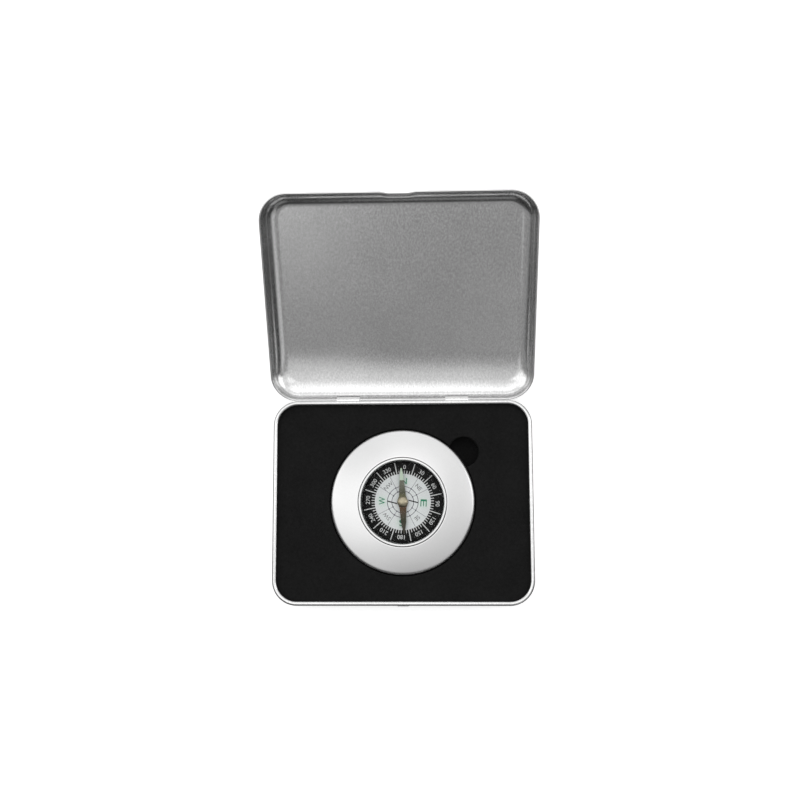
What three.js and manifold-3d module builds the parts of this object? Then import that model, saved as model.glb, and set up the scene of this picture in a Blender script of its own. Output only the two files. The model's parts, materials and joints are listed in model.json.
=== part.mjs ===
// A needle compass in a hinged tin: a tinplate box with a foam insert that holds a round
// aluminium compass. Millimetres, +Z up. The origin is the centre of the tin's bottom face,
// +X runs to the right and +Y to the hinge. The lid stands open.

import * as THREE from 'three';
import { mergeVertices } from 'three/addons/utils/BufferGeometryUtils.js';
import Module from 'manifold-3d';

const wasm = await Module();
wasm.setup();

// Tin base
const tinWidth = 115;
const tinDepth = 90;
const tinHeight = 15;
const tinCorner = 11;
const tinSheet = 0.4;
const tinBottomRound = 2;
const rimBeadRadius = 0.9;

// Lid, which slips over the base
const lidHeight = 8.3;
const lidSheet = 0.35;
const lidRound = 6.6;
const lidFit = 0.2;
const lidOverlap = 3;
const lidBeadRadius = 0.4;
const lidOpenDegrees = 152;

// Hinge: two tongues of the base hook round the lid's bead through two slots
const hingeSpacing = 48.8;
const slotWidth = 10.2;
const slotSill = 0.2;
const slotHeadroom = 2.1;
const tongueSheet = 0.3;
const hingeClearance = 0.2;
const tongueEndDegrees = -60;

// Thumb dent in the lid's free edge, and the catch nub below it on the base
const dentFlat = 7.5;
const dentRamp = 4;
const dentDepth = 0.5;
const dentRise = 3.4;
const dentGap = 0.3;
const nubWidth = 5;
const nubHeight = 1.6;
const nubReach = 0.6;
const nubDrop = 0.5;

// Foam
const foamGap = 0.3;
const foamFloorThickness = 4.1;
const foamTopGap = 0.3;
const pocketGap = 0.4;
const notchRadius = 6.7;
const notchOut = 3;
const notchDegrees = 39;

// Compass body and the felt under it
const puckRadius = 32;
const puckHeight = 11;
const puckEdgeHeight = 9;
const puckEdgeRound = 1.3;
const puckShoulderDegrees = 78;
const puckCrown = 0.25;
const puckBottomChamfer = 0.8;
const feltInset = 4;
const feltThickness = 1;
const feltRecess = 0.6;
const feltGap = 0.2;
const seatGap = 0.05;

// Capsule, from its adhesive disc up to its bezel
const tapeThickness = 0.3;
const tapeInset = 3.15;
const cupFloor = 1;
const cupWall = 0.4;
const dialThickness = 0.4;
const spacerHeight = 3.2;
const spacerWall = 0.4;
const gasketHeight = 0.3;
const lensThickness = 1.4;
const lensDome = 0.3;
const bezelRadius = 19.5;
const bezelSkirt = 0.3;
const bezelLip = 0.5;
const bezelFace = 1;
const bezelProud = 0.25;
const bezelGap = 0.15;
const fitGap = 0.05;

// Pivot
const bushWall = 0.65;
const bushFlange = 0.35;
const bushCollarHeight = 0.4;
const pinRadius = 0.45;
const pinTipLength = 0.6;
const pinFoot = 0.2;

// Needle
const bladeRise = 1.2;
const bladeThickness = 0.25;
const northTipGap = 3.3;
const southTipGap = 4.5;
const bladeHubHalf = 2.5;
const bladeShoulder = 2.6;
const bladeShoulderHalf = 1.3;
const bladeTipHalf = 0.7;
const bladeTaper = 4.6;
const lumeThickness = 0.1;
const lumeRun = 0.8;
const lumeMargin = 0.15;
const hubRadius = 2.4;
const hubHeight = 1.15;
const hubRim = 0.2;
const hubCrown = 0.65;
const hubWall = 0.35;
const collarWidth = 0.6;
const collarThickness = 0.4;
const jewelRadius = 0.9;
const jewelHeight = 0.5;
const jewelPitRadius = 0.55;
const jewelPitDepth = 0.35;
const needleHeadingDegrees = 2.4;

// Facets
const cornerSteps = 8;
const filletSteps = 6;
const beadSteps = 9;
const roundSteps = 48;
const smallSteps = 24;

// Places that several pieces share
const pocketFloor = tinSheet + foamFloorThickness;
const foamTop = tinHeight - 2 * rimBeadRadius - foamTopGap;
const hingeOffset = lidFit + lidBeadRadius;
const hingeY = tinDepth / 2 + hingeOffset;
const hingeZ = tinHeight - lidOverlap;
const lidFrontFit = dentDepth + dentGap;
const barReach = Math.hypot(lidBeadRadius, slotSill);
const hookInner = barReach + hingeClearance;
const hookOuter = hookInner + tongueSheet;
const feltRadius = puckRadius - feltInset;
const puckBottom = pocketFloor + seatGap + feltThickness - feltRecess;
const puckTop = puckBottom + puckHeight;
const cupRadius = bezelRadius - bezelSkirt - fitGap;
const cupBore = cupRadius - cupWall;
const insertRadius = cupBore - fitGap;
const spacerBore = insertRadius - spacerWall;
const bezelWindowRadius = bezelRadius - bezelFace;
const bezelTop = puckTop + bezelProud;
const lensTop = bezelTop - bezelLip;
const lensBottom = lensTop - lensThickness;
const spacerTop = lensBottom - gasketHeight;
const dialTop = spacerTop - spacerHeight;
const dialBottom = dialTop - dialThickness;
const cupBottom = dialBottom - cupFloor;
const bushRadius = pinRadius + fitGap + bushWall;
const bushCollarRadius = bushRadius + bushFlange;
const bladeNorth = spacerBore - northTipGap;
const bladeSouth = spacerBore - southTipGap;
const bladeBottom = dialTop + bladeRise;
const bladeTop = bladeBottom + bladeThickness;
const jewelTop = bladeTop + hubHeight - hubCrown;
const hubBore = jewelRadius + fitGap;
const hubTenonRadius = hubBore + hubWall;
const pinTip = jewelTop - jewelHeight + jewelPitDepth - fitGap;

function material(color, roughness, metalness = 0) {
  return new THREE.MeshStandardMaterial({ color, roughness, metalness });
}

const tinplate = material(0xb9bbbd, 0.38, 1);
const satinAluminium = material(0xd2d3d5, 0.35, 1);
const brightAluminium = material(0xe2e3e5, 0.2, 1);
const blackFoam = material(0x19191a, 0.95);
const blackFelt = material(0x141415, 1);
const blackPlastic = material(0x101011, 0.45);
const blackRubber = material(0x1c1c1c, 0.8);
const paleTape = material(0xd9d4c4, 0.7);
const dialPrint = material(0xe9ebe8, 0.6);
const clearLens = new THREE.MeshStandardMaterial({
  color: 0xf4f7f8,
  roughness: 0.05,
  transparent: true,
  opacity: 0.25,
});
const darkSteel = material(0x4a463a, 0.4, 1);
const pinSteel = material(0x9a9a9c, 0.25, 1);
const brass = material(0xb39a5c, 0.3, 1);
const palePaint = material(0xb8d9bb, 0.6);
const ruby = material(0x8a2030, 0.15);

function degrees(angle) {
  return angle * Math.PI / 180;
}

// Points of an arc as [across, up], from one angle to another in degrees
function arc(across, up, radius, from, to, steps) {
  const points = [];
  for (let step = 0; step <= steps; step += 1) {
    const angle = degrees(from + (to - from) * step / steps);
    points.push([across + radius * Math.cos(angle), up + radius * Math.sin(angle)]);
  }
  return points;
}

// A rounded rectangle, anticlockwise, with any further points that its front edge needs
function roundedOutline(halfWidth, front, rear, corner, frontStations = []) {
  const points = frontStations.map((x) => new THREE.Vector2(x, front));
  const inner = halfWidth - corner;
  const centres = [
    [inner, front + corner],
    [inner, rear - corner],
    [-inner, rear - corner],
    [-inner, front + corner],
  ];
  centres.forEach(([x, y], quarter) => {
    arc(x, y, corner, (quarter - 1) * 90, quarter * 90, cornerSteps).forEach((point) => {
      points.push(new THREE.Vector2(...point));
    });
  });
  return points;
}

// A closed body through a stack of rings with equal counts, capped at its first and last ring
function bodyThroughRings(rings) {
  const count = rings[0].length;
  const vertices = rings.flat();
  const faces = [];
  for (let ring = 0; ring + 1 < rings.length; ring += 1) {
    for (let point = 0; point < count; point += 1) {
      const next = (point + 1) % count;
      const low = ring * count;
      const high = low + count;
      faces.push(low + point, low + next, high + next);
      faces.push(low + point, high + next, high + point);
    }
  }
  const lastRing = (rings.length - 1) * count;
  for (let point = 1; point + 1 < count; point += 1) {
    faces.push(0, point + 1, point);
    faces.push(lastRing, lastRing + point, lastRing + point + 1);
  }
  const geometry = new THREE.BufferGeometry().setFromPoints(vertices);
  geometry.setIndex(faces);
  return geometry;
}

// A turned body about the Z axis from a profile of [radius, z] points
function turned(profile, steps = roundSteps) {
  const points = profile.map(([radius, z]) => new THREE.Vector2(radius, z));
  return new THREE.LatheGeometry(points, steps).rotateX(Math.PI / 2);
}

// A plain ring of rectangular section
function ring(inner, outer, bottom, top, steps = roundSteps) {
  return turned([[inner, bottom], [outer, bottom], [outer, top], [inner, top], [inner, bottom]], steps);
}

// A plain round disc
function disc(radius, bottom, top) {
  return turned([[0, bottom], [radius, bottom], [radius, top], [0, top]]);
}

// A section drawn as (Y, Z), extruded along X and centred on one X
function barAlongX(section, length, centre) {
  const geometry = new THREE.ExtrudeGeometry(section, {
    depth: length,
    bevelEnabled: false,
    curveSegments: smallSteps,
  });
  const turn = new THREE.Matrix4().makeBasis(
    new THREE.Vector3(0, 1, 0),
    new THREE.Vector3(0, 0, 1),
    new THREE.Vector3(1, 0, 0),
  );
  return geometry.applyMatrix4(turn).translate(centre - length / 2, 0, 0);
}

// An outline in X and Y, extruded between two heights
function plateBetween(shape, bottom, top, curveSegments = roundSteps) {
  const options = { depth: top - bottom, bevelEnabled: false, curveSegments };
  return new THREE.ExtrudeGeometry(shape, options).translate(0, 0, bottom);
}

function toSolid(geometry) {
  const bare = geometry.clone();
  bare.deleteAttribute('normal');
  bare.deleteAttribute('uv');
  const merged = mergeVertices(bare);
  return new wasm.Manifold(new wasm.Mesh({
    numProp: 3,
    vertProperties: merged.attributes.position.array,
    triVerts: Uint32Array.from(merged.index.array),
  }));
}

function toGeometry(solid) {
  const mesh = solid.getMesh();
  const geometry = new THREE.BufferGeometry();
  geometry.setAttribute('position', new THREE.BufferAttribute(mesh.vertProperties, 3));
  geometry.setIndex(new THREE.BufferAttribute(mesh.triVerts, 1));
  geometry.computeVertexNormals();
  return geometry;
}

function piece(name, geometry, finish) {
  const mesh = new THREE.Mesh(geometry, finish);
  mesh.name = name;
  return mesh;
}

function hingeCentres() {
  return [-hingeSpacing / 2, hingeSpacing / 2];
}

// Tongue section: out of the rear wall above the bar, then curled round it
function tongueSection() {
  const root = tinDepth / 2 - tinSheet / 2;
  const end = degrees(tongueEndDegrees);
  const section = new THREE.Shape();
  section.moveTo(root, hingeZ + hookInner);
  section.lineTo(hingeY, hingeZ + hookInner);
  section.absarc(hingeY, hingeZ, hookInner, Math.PI / 2, end, true);
  section.absarc(hingeY, hingeZ, hookOuter, end, Math.PI / 2, false);
  section.lineTo(root, hingeZ + hookOuter);
  section.closePath();
  return section;
}

// Catch nub: a sloped ledge on the front wall, clear of the closed lid's edge
function nubSection() {
  const wall = -tinDepth / 2;
  const top = hingeZ - lidBeadRadius - nubDrop;
  const section = new THREE.Shape();
  section.moveTo(wall + tinSheet / 2, top);
  section.lineTo(wall, top);
  section.lineTo(wall - nubReach, top - nubHeight / 4);
  section.lineTo(wall - nubReach, top - nubHeight / 2);
  section.lineTo(wall, top - nubHeight);
  section.lineTo(wall + tinSheet / 2, top - nubHeight);
  section.closePath();
  return section;
}

// Tin base: up the outside, over the inward bead and down the inside, as [inset, z]
function tinBase() {
  const beadEnd = Math.acos((rimBeadRadius - tinSheet) / rimBeadRadius) * 180 / Math.PI - 180;
  const profile = [
    ...arc(tinBottomRound, tinBottomRound, tinBottomRound, 270, 180, filletSteps),
    ...arc(rimBeadRadius, tinHeight - rimBeadRadius, rimBeadRadius, 180, beadEnd, beadSteps),
    ...arc(tinBottomRound, tinBottomRound, tinBottomRound - tinSheet, 180, 270, filletSteps),
  ];
  const rings = profile.map(([inset, z]) => {
    const outline = roundedOutline(
      tinWidth / 2 - inset,
      inset - tinDepth / 2,
      tinDepth / 2 - inset,
      tinCorner - inset,
    );
    return outline.map(({ x, y }) => new THREE.Vector3(x, y, z));
  });
  let solid = toSolid(bodyThroughRings(rings));
  const tongueWidth = slotWidth - 2 * hingeClearance;
  hingeCentres().forEach((x) => {
    solid = solid.add(toSolid(barAlongX(tongueSection(), tongueWidth, x)));
  });
  solid = solid.add(toSolid(barAlongX(nubSection(), nubWidth, 0)));
  return piece('tin_base', toGeometry(solid), tinplate);
}

// How far the thumb dent is pressed in at one X of the free edge, from 0 to 1
function dentShare(x) {
  return 1 - THREE.MathUtils.smoothstep(Math.abs(x), dentFlat / 2, dentFlat / 2 + dentRamp);
}

function dentStations() {
  const right = [0, 0.25, 0.5, 0.75, 1].map((share) => dentFlat / 2 + share * dentRamp);
  const left = right.map((x) => -x).reverse();
  return [...left, ...right];
}

// Lid, drawn closed with its hinge axis at the origin: down the inside, round the bead and up
// the outside, as [outward from the base's wall, z]
function tinLid() {
  const wallInner = lidFit;
  const wallOuter = lidFit + lidSheet;
  const innerRound = lidRound - lidSheet;
  const beadEnd = 360 + Math.acos((lidSheet - lidBeadRadius) / lidBeadRadius) * 180 / Math.PI;
  const wallTop = lidHeight - lidRound;
  const wallMiddle = wallTop / 2;
  const profile = [
    ...arc(wallInner - innerRound, wallTop, innerRound, 90, 0, filletSteps),
    [wallInner, wallMiddle],
    ...arc(hingeOffset, 0, lidBeadRadius, 180, beadEnd, beadSteps),
    [wallOuter, wallMiddle],
    ...arc(wallOuter - lidRound, wallTop, lidRound, 0, 90, filletSteps),
  ];
  const stations = dentStations();
  const rings = profile.map(([outward, z]) => {
    const front = -hingeOffset - tinDepth - outward - (lidFrontFit - lidFit);
    const rear = outward - hingeOffset;
    const outline = roundedOutline(tinWidth / 2 + outward, front, rear, tinCorner + outward, stations);
    const fade = 1 - THREE.MathUtils.smoothstep(z, lidBeadRadius, dentRise);
    const press = dentDepth + Math.max(0, outward - wallOuter);
    return outline.map(({ x, y }, index) => {
      const pressed = index < stations.length ? press * fade * dentShare(x) : 0;
      return new THREE.Vector3(x, y + pressed, z);
    });
  });
  let solid = toSolid(bodyThroughRings(rings));
  const slotHeight = hookOuter + slotHeadroom - slotSill;
  const slot = new THREE.BoxGeometry(slotWidth, 4 * lidBeadRadius, slotHeight);
  slot.translate(0, 0, slotSill + slotHeight / 2);
  hingeCentres().forEach((x) => {
    solid = solid.subtract(toSolid(slot.clone().translate(x, 0, 0)));
  });
  return piece('tin_lid', toGeometry(solid), tinplate);
}

function foamOutline(inset) {
  return new THREE.Shape(roundedOutline(
    tinWidth / 2 - inset,
    inset - tinDepth / 2,
    tinDepth / 2 - inset,
    tinCorner - inset,
  ));
}

// Foam sheet on the tin's floor, drawn in from the rounded bottom edge
function foamFloor() {
  const shape = foamOutline(tinBottomRound + foamGap);
  return piece('foam_floor', plateBetween(shape, tinSheet, pocketFloor), blackFoam);
}

// Foam insert with one hole: the round pocket and the finger notch that runs into it
function foamInsert() {
  const shape = foamOutline(tinSheet + foamGap);
  const pocketRadius = puckRadius + pocketGap;
  const notchDistance = puckRadius + notchOut;
  const heading = degrees(notchDegrees);
  const notchX = notchDistance * Math.cos(heading);
  const notchY = notchDistance * Math.sin(heading);
  const squares = notchDistance ** 2 + pocketRadius ** 2 - notchRadius ** 2;
  const pocketHalf = Math.acos(squares / (2 * notchDistance * pocketRadius));
  const notchHalf = Math.PI - Math.acos((notchDistance - pocketRadius * Math.cos(pocketHalf)) / notchRadius);
  const hole = new THREE.Path();
  hole.absarc(0, 0, pocketRadius, heading + pocketHalf, heading - pocketHalf + 2 * Math.PI, false);
  hole.absarc(notchX, notchY, notchRadius, heading - notchHalf, heading + notchHalf, false);
  shape.holes.push(hole);
  return piece('foam_insert', plateBetween(shape, pocketFloor, foamTop, roundSteps / 2), blackFoam);
}

// Compass body: a low, slightly crowned cone with a recess for the capsule above and one for the
// felt below
function puckBody() {
  const recessRadius = bezelRadius + bezelGap;
  const recessFloor = cupBottom - tapeThickness;
  const feltSeat = puckBottom + feltRecess;
  const edgeCentre = puckBottom + puckEdgeHeight - puckEdgeRound;
  const shoulder = arc(
    puckRadius - puckEdgeRound,
    edgeCentre,
    puckEdgeRound,
    0,
    puckShoulderDegrees,
    filletSteps,
  );
  const [faceRadius, faceBottom] = shoulder.at(-1);
  const face = [0.25, 0.5, 0.75, 1].map((share) => [
    THREE.MathUtils.lerp(faceRadius, recessRadius, share),
    THREE.MathUtils.lerp(faceBottom, puckTop, share + puckCrown * share * (1 - share)),
  ]);
  const profile = [
    [0, feltSeat],
    [feltRadius + feltGap, feltSeat],
    [feltRadius + feltGap, puckBottom],
    [puckRadius - puckBottomChamfer, puckBottom],
    [puckRadius, puckBottom + puckBottomChamfer],
    ...shoulder,
    ...face,
    [recessRadius, recessFloor],
    [0, recessFloor],
  ];
  return piece('puck_body', turned(profile), satinAluminium);
}

function feltPad() {
  const bottom = pocketFloor + seatGap;
  return piece('felt_pad', disc(feltRadius, bottom, bottom + feltThickness), blackFelt);
}

function capsuleTape() {
  const radius = cupRadius - tapeInset;
  return piece('capsule_tape', disc(radius, cupBottom - tapeThickness, cupBottom), paleTape);
}

function capsuleCup() {
  const hole = bushRadius + fitGap;
  const profile = [
    [hole, cupBottom],
    [cupRadius, cupBottom],
    [cupRadius, lensTop],
    [cupBore, lensTop],
    [cupBore, dialBottom],
    [hole, dialBottom],
    [hole, cupBottom],
  ];
  return piece('capsule_cup', turned(profile), blackPlastic);
}

function dialCard() {
  const hole = bushCollarRadius + fitGap;
  return piece('dial_card', ring(hole, insertRadius, dialBottom, dialTop), dialPrint);
}

function spacerRing() {
  return piece('spacer_ring', ring(spacerBore, insertRadius, dialTop, spacerTop), blackPlastic);
}

function lensGasket() {
  return piece('lens_gasket', ring(spacerBore, insertRadius, spacerTop, lensBottom), blackRubber);
}

// Lens: flat below and where the bezel holds it, with a slight crown in the window
function lens() {
  const crown = bezelWindowRadius - fitGap;
  const profile = [
    [0, lensBottom],
    [insertRadius, lensBottom],
    [insertRadius, lensTop],
    [crown, lensTop],
    [crown * 0.7, lensTop + lensDome * 0.5],
    [crown * 0.35, lensTop + lensDome * 0.88],
    [0, lensTop + lensDome],
  ];
  return piece('lens', turned(profile), clearLens);
}

// Bezel: a lip over the lens and a skirt round the cup
function bezelRing() {
  const skirtInner = bezelRadius - bezelSkirt;
  const bevel = bezelLip / 2;
  const profile = [
    [skirtInner, dialTop],
    [bezelRadius, dialTop],
    [bezelRadius, bezelTop - bevel],
    [bezelRadius - bevel, bezelTop],
    [bezelWindowRadius + bevel, bezelTop],
    [bezelWindowRadius, lensTop],
    [skirtInner, lensTop],
    [skirtInner, dialTop],
  ];
  return piece('bezel_ring', turned(profile), brightAluminium);
}

// Brass bush in the cup's floor, with a collar through the dial
function pivotBush() {
  const bore = pinRadius + fitGap;
  const collarTop = dialTop + bushCollarHeight;
  const profile = [
    [bore, cupBottom],
    [bushRadius, cupBottom],
    [bushRadius, dialBottom],
    [bushCollarRadius, dialBottom],
    [bushCollarRadius, collarTop],
    [bore, collarTop],
    [bore, cupBottom],
  ];
  return piece('pivot_bush', turned(profile, smallSteps), brass);
}

function pivotPin() {
  const profile = [
    [0, cupBottom + pinFoot],
    [pinRadius, cupBottom + pinFoot],
    [pinRadius, pinTip - pinTipLength],
    [0, pinTip],
  ];
  return piece('pivot_pin', turned(profile, smallSteps), pinSteel);
}

// Half width of the blade at a distance from the pivot, along an arm of one length
function bladeHalfWidth(distance, armLength) {
  const tipStart = armLength - bladeTaper;
  if (distance < bladeShoulder) {
    return THREE.MathUtils.lerp(bladeHubHalf, bladeShoulderHalf, distance / bladeShoulder);
  }
  if (distance < tipStart) {
    const share = (distance - bladeShoulder) / (tipStart - bladeShoulder);
    return THREE.MathUtils.lerp(bladeShoulderHalf, bladeTipHalf, share);
  }
  return bladeTipHalf * (armLength - distance) / bladeTaper;
}

function needleBlade() {
  const northStations = [bladeNorth - bladeTaper, bladeShoulder, 0];
  const southStations = [bladeShoulder, bladeSouth - bladeTaper];
  const right = [
    [0, bladeNorth],
    ...northStations.map((y) => [bladeHalfWidth(y, bladeNorth), y]),
    ...southStations.map((y) => [bladeHalfWidth(y, bladeSouth), -y]),
    [0, -bladeSouth],
  ];
  const left = right.slice(1, -1).map(([x, y]) => [-x, y]).reverse();
  const shape = new THREE.Shape([...right, ...left].map((point) => new THREE.Vector2(...point)));
  const hole = new THREE.Path();
  hole.absarc(0, 0, hubTenonRadius + fitGap, 0, 2 * Math.PI, false);
  shape.holes.push(hole);
  return piece('needle_blade', plateBetween(shape, bladeBottom, bladeTop, smallSteps / 2), darkSteel);
}

// Luminous strip on the north arm, a little narrower than the blade under it
function lumeStrip() {
  const share = 1 - lumeMargin;
  const tipStart = bladeNorth - bladeTaper;
  const right = [tipStart - lumeRun, tipStart].map((y) => [share * bladeHalfWidth(y, bladeNorth), y]);
  const left = right.map(([x, y]) => [-x, y]).reverse();
  const tip = [0, tipStart + share * bladeTaper];
  const shape = new THREE.Shape([...right, tip, ...left].map((point) => new THREE.Vector2(...point)));
  return piece('lume_strip', plateBetween(shape, bladeTop, bladeTop + lumeThickness), palePaint);
}

// Hub: a domed cap on the blade, a tenon through it and a bore for the jewel
function needleHub() {
  const capTop = bladeTop + hubHeight;
  const tenonBottom = bladeBottom - collarThickness;
  const dome = [0.75, 0.5, 0.25, 0].map((share) => [
    hubRadius * share,
    capTop - (hubHeight - hubRim) * share ** 2,
  ]);
  const profile = [
    [0, jewelTop],
    [hubBore, jewelTop],
    [hubBore, tenonBottom],
    [hubTenonRadius, tenonBottom],
    [hubTenonRadius, bladeTop],
    [hubRadius, bladeTop],
    [hubRadius, bladeTop + hubRim],
    ...dome,
  ];
  return piece('needle_hub', turned(profile, smallSteps), brass);
}

function hubCollar() {
  const bottom = bladeBottom - collarThickness;
  const bore = hubTenonRadius + fitGap;
  const geometry = ring(bore, hubTenonRadius + collarWidth, bottom, bladeBottom, smallSteps);
  return piece('hub_collar', geometry, brass);
}

// Jewel: a disc with a conical pit below, in which the pin's tip runs
function hubJewel() {
  const bottom = jewelTop - jewelHeight;
  const profile = [
    [0, bottom + jewelPitDepth],
    [jewelPitRadius, bottom],
    [jewelRadius, bottom],
    [jewelRadius, jewelTop],
    [0, jewelTop],
  ];
  return piece('hub_jewel', turned(profile, smallSteps), ruby);
}

const lid = new THREE.Group();
lid.add(tinLid());
lid.position.set(0, hingeY, hingeZ);
lid.rotation.x = -degrees(lidOpenDegrees);

const needle = new THREE.Group();
needle.add(needleBlade(), lumeStrip(), needleHub(), hubCollar(), hubJewel());
needle.rotation.z = degrees(needleHeadingDegrees);

const compass = new THREE.Group();
compass.add(
  puckBody(),
  feltPad(),
  capsuleTape(),
  capsuleCup(),
  dialCard(),
  pivotBush(),
  pivotPin(),
  spacerRing(),
  lensGasket(),
  lens(),
  bezelRing(),
  needle,
);

const compassInTin = new THREE.Group();
compassInTin.add(tinBase(), lid, foamFloor(), foamInsert(), compass);

export default compassInTin;
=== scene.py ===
import json
import math
import random

import bmesh
import bpy
import numpy as np
from mathutils import Matrix, Vector, geometry, noise


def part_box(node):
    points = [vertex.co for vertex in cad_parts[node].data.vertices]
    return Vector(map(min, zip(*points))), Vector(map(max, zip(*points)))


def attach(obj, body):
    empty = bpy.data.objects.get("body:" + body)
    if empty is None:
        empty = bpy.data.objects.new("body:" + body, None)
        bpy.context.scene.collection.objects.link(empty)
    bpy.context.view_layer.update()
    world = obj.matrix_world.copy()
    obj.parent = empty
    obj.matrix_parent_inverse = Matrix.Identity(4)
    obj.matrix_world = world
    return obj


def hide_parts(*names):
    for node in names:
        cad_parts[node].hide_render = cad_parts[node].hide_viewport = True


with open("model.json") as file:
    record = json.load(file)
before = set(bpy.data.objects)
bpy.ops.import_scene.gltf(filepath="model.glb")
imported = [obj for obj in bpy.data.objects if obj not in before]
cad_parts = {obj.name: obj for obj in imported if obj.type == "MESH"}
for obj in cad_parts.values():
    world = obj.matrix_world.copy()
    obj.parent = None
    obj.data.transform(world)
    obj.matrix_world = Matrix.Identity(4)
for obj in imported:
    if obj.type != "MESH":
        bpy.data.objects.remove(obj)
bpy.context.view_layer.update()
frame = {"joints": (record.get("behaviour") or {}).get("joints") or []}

MM = 0.001

# Tin base
TIN_CORNER = 11.0 * MM
TIN_SHEET = 0.4 * MM
TIN_BOTTOM_ROUND = 2.0 * MM
RIM_BEAD = 1.0 * MM
FLAT_HOLD = 0.4 * MM

# Lid, drawn closed with its hinge axis at the origin
LID_HEIGHT = 8.3 * MM
LID_SHEET = 0.35 * MM
LID_ROUND = 6.6 * MM
LID_FIT = 0.2 * MM
LID_FRONT_FIT = 0.8 * MM
LID_BEAD = 0.4 * MM
LID_WALL_ROWS = (0.75, 0.5, 0.3)
LID_BEND_RUN = 16.0 * MM
LID_BEND_SLOPE = math.tan(math.radians(13))
LID_SLOPE_START = 3.3 * MM
LID_SLOPE_END = 2.4 * MM
LID_CORNER_FADE = 4
PANEL_PITCH = 2.5 * MM

# Hinge tongues and the slots that they hook through
HINGE_SPACING = 48.8 * MM
SLOT_WIDTH = 10.2 * MM
SLOT_SILL = 0.2 * MM
SLOT_HEADROOM = 2.1 * MM
SLOT_REACH = 2 * LID_BEAD
TONGUE_SHEET = 0.22 * MM
TONGUE_END_DEGREES = -60
HINGE_CLEARANCE = 0.06 * MM

# Thumb dent in the lid's free edge and the catch nub on the base
DENT_FLAT = 7.5 * MM
DENT_RAMP = 4.0 * MM
DENT_DEPTH = 0.7 * MM
DENT_FULL = 3.5 * MM
DENT_RISE = 8.0 * MM
NUB_WIDTH = 5.0 * MM
NUB_HEIGHT = 1.6 * MM
NUB_REACH = 0.6 * MM
NUB_DROP = 0.5 * MM
NUB_EASE = 0.24 * MM

# Foam
FOAM_INSET = 0.7 * MM
FOAM_ROLL = 0.5 * MM
FOAM_PITCH = 1.4 * MM
FOAM_JITTER = 0.25
FOAM_UNEVEN = 0.07 * MM
FOAM_WAVES_PER_METRE = 260
POCKET_GAP = 0.4 * MM
NOTCH_RADIUS = 6.7 * MM
NOTCH_OUT = 3.0 * MM
NOTCH_HEADING = math.radians(39)

# Compass body and its felt
PUCK_EDGE_HEIGHT = 9.0 * MM
PUCK_EDGE_ROUND = 1.8 * MM
PUCK_SHOULDER_DEGREES = 78
PUCK_CROWN = 0.25
PUCK_BOTTOM_CHAMFER = 0.8 * MM
PUCK_RECESS_EASE = 0.12 * MM
FELT_RECESS = 0.6 * MM
FELT_GAP = 0.2 * MM
FELT_ROLL = 0.35 * MM
FELT_UNEVEN = 0.06 * MM
FELT_WAVES_PER_METRE = 900
BEZEL_GAP = 0.15 * MM

# Capsule
CUP_WALL = 0.4 * MM
SPACER_WALL = 0.4 * MM
LENS_DOME = 0.3 * MM
LENS_EDGE = 0.12 * MM
BEZEL_SKIRT = 0.3 * MM
BEZEL_FACE = 1.25 * MM
BEZEL_LIP = 0.5 * MM
BEZEL_EASE = 0.12 * MM
FIT_GAP = 0.05 * MM
EASE = 0.08 * MM

# Dial print. A skip leaves out every so many marks, from one of them on.
INK = 0.015 * MM
INK_EASE = INK / 4
DIAL_TURN = math.radians(3.2)
RIGHT_ANGLE = math.pi / 2
NUMERAL_STEP = 30
NUMERAL_COUNT = 12
TWELFTH = math.radians(NUMERAL_STEP)
DISC_RADIUS = 12.45 * MM
NONE_SKIPPED = (1000, -1)
COMB_COUNT = 72
COMB_SKIP = (6, 3)
COMB_OUTER = 13.9 * MM
COMB_WIDTH = 0.36 * MM
LONG_TICK_OUTER = 17.6 * MM
LONG_TICK_WIDTH = 0.42 * MM
NUMERAL_RADIUS = 15.5 * MM
NUMERAL_HEIGHT = 1.75 * MM
NUMERAL_WEIGHT = 0.01
LETTER_RADIUS = 9.25 * MM
LETTER_HEIGHT = 2.7 * MM
LETTER_WEIGHT = 0.005
LETTER_WIDTHS = {"N": 2.7 * MM, "E": 3.2 * MM, "S": 2.3 * MM, "W": 3.4 * MM}
CORNER_RADIUS = 9.55 * MM
CORNER_HEIGHT = 1.75 * MM
TINT_CORE = 0.8 * MM
TINT_RADIUS = 3.2 * MM
OUTER_CIRCLE = 6.85 * MM
INNER_CIRCLE = 4.86 * MM
CIRCLE_WIDTH = 0.24 * MM
RAY_SKIP = (3, 0)
RAY_INNER = 4.7 * MM
RAY_WIDTH = 0.16 * MM
ROSE_INNER = 2.5 * MM
ROSE_HALF = 1.15 * MM
ROSE_STROKE = 0.5 * MM
CROSSING_LENGTH = 0.6 * MM
CROSSING_WIDTH = 0.42 * MM

# Pivot
BUSH_WALL = 0.65 * MM
BUSH_FLANGE = 0.35 * MM
PIN_RADIUS = 0.45 * MM
PIN_TIP = 0.6 * MM

# Needle
NEEDLE_HEADING = math.radians(2.4)
NORTH_ARM = 15.0 * MM
NORTH_TIP = 3.4 * MM
NORTH_TIP_HALF = 0.82 * MM
SOUTH_ARM = 13.8 * MM
SOUTH_TIP = 4.8 * MM
SOUTH_TIP_HALF = 1.15 * MM
BLADE_HUB_HALF = 2.5 * MM
BLADE_SHOULDER = 2.6 * MM
BLADE_SHOULDER_HALF = 1.5 * MM
BLADE_END_HALF = 0.3 * MM
BLADE_EASE = 0.05 * MM
LUME_RUN = 2.0 * MM
LUME_SHARE = 0.97
LUME_EASE = 0.03 * MM
HUB_RADIUS = 2.4 * MM
HUB_RIM = 0.2 * MM
HUB_WALL = 0.35 * MM
COLLAR_WIDTH = 0.6 * MM
JEWEL_RADIUS = 0.9 * MM
JEWEL_PIT_RADIUS = 0.55 * MM
JEWEL_PIT_DEPTH = 0.35 * MM

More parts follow.
